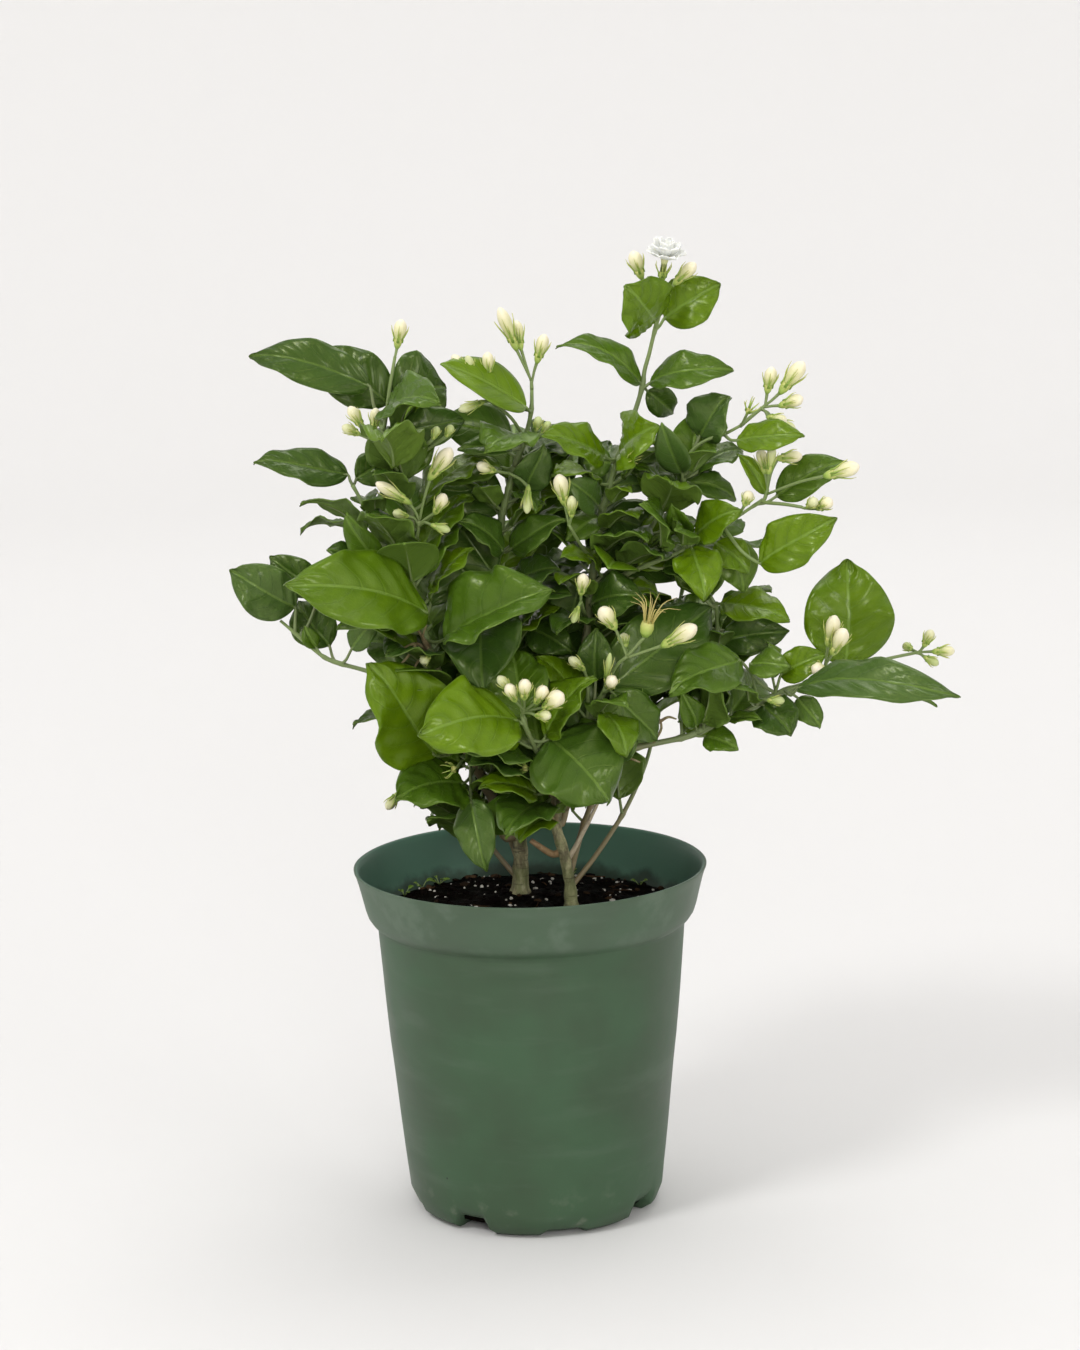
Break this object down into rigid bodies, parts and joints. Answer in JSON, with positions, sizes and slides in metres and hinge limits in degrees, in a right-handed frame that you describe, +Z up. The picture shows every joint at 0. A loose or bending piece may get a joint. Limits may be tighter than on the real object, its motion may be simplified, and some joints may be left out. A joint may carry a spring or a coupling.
{
  "type": "potted arabian jasmine",
  "caption": "Bushy arabian jasmine with glossy leaves, cream buds and an open flower, in a tapered green nursery pot.",
  "frame": {"origin": "middle of the pot's underside, on the surface that it stands on", "axes": "+Z up, the front of the plant as pictured faces -Y, +X to the right seen from the front"},
  "size_m": [0.3321, 0.2017, 0.4507],
  "materials": {
    "pot": "satin",
    "mix": "matte",
    "bark": "matte",
    "leaf": "satin",
    "bud": "satin"
  },
  "bodies": {
    "root": {"pot": "pot", "soil": "mix", "trunk_left": "bark", "trunk_right": "bark", "stem_left": "leaf", "stem_left_top": "leaf", "stem_left_middle": "leaf", "stem_left_low": "leaf", "stem_centre": "leaf", "stem_centre_top": "leaf", "stem_tall": "leaf", "stem_tall_top": "leaf", "stem_right_upper": "leaf", "stem_right_middle": "leaf", "stem_front": "leaf", "stem_buds": "leaf", "stem_right_low": "leaf", "stem_right_tip": "leaf", "stem_right_rear": "leaf", "stem_rear_left": "leaf", "stem_rear_centre": "leaf", "stem_rear_right": "leaf", "stem_rear_low_left": "leaf", "stem_rear_low_right": "leaf", "buds_front": "bud", "buds_middle": "bud", "bud_low_middle": "bud", "buds_centre_top": "bud", "buds_left_crown": "bud", "bud_left_high": "bud", "buds_left_middle": "bud", "buds_centre": "bud", "buds_centre_left": "bud", "buds_young": "bud", "buds_pair": "bud", "buds_inner": "bud", "bud_low": "bud", "buds_crown": "bud", "buds_right_high": "bud", "buds_right_middle": "bud", "buds_right_small": "bud", "bud_right_inner": "bud", "buds_right_front": "bud", "bud_right_low": "bud", "buds_far_right": "bud"}
  },
  "joints": []
}
